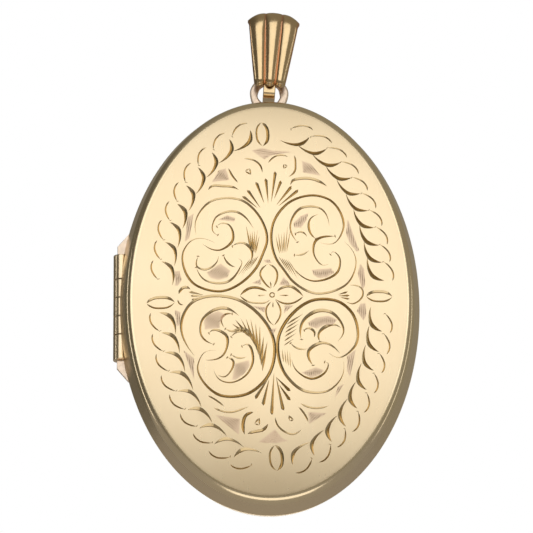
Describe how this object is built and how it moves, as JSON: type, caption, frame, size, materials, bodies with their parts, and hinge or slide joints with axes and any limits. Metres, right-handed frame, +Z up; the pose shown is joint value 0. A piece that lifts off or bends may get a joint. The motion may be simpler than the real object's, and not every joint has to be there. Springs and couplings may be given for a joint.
{
  "type": "oval picture locket",
  "caption": "Oval hinged picture locket with an engraved front, a snap rim, windowed photo frames inside and a fluted bail on a soldered ring.",
  "frame": {"origin": "middle of the chain channel, under the fold of the bail", "axes": "+Z up through the bail, -Y out of the engraved front, the hinge on the -X side"},
  "size_m": [0.0316, 0.0068, 0.0553],
  "materials": {
    "satin_gold": "satin",
    "bright_gold": "polished",
    "pale_gold": "satin",
    "card": "matte",
    "clear_sheet": "gloss"
  },
  "bodies": {
    "bail": {"bail": "bright_gold", "bail_strap": "bright_gold"},
    "case": {"back_cover": "satin_gold", "back_seat": "pale_gold", "back_card": "card", "back_window": "clear_sheet", "back_frame": "bright_gold", "snap_rim": "pale_gold", "knuckle_case_top": "satin_gold", "knuckle_case_middle": "satin_gold", "knuckle_case_bottom": "satin_gold", "hinge_pin": "bright_gold", "hinge_wing_upper": "pale_gold", "hinge_wing_lower": "pale_gold", "hanging_ring": "pale_gold"},
    "cover": {"front_cover": "satin_gold", "front_seat": "pale_gold", "front_card": "card", "front_window": "clear_sheet", "front_frame": "bright_gold", "knuckle_cover_upper": "satin_gold", "knuckle_cover_lower": "satin_gold"}
  },
  "joints": [
    {"name": "bail_swing", "type": "hinge", "parent": "bail", "child": "case", "pos_m": [-0.00032, 0, -0.00517], "axis": [0.9981, 0, -0.061], "range_deg": [-30, 30]},
    {"name": "cover_hinge", "type": "hinge", "parent": "case", "child": "cover", "pos_m": [-0.01572, -0.00095, -0.03069], "axis": [0, 0, -1], "range_deg": [0, 170]}
  ]
}
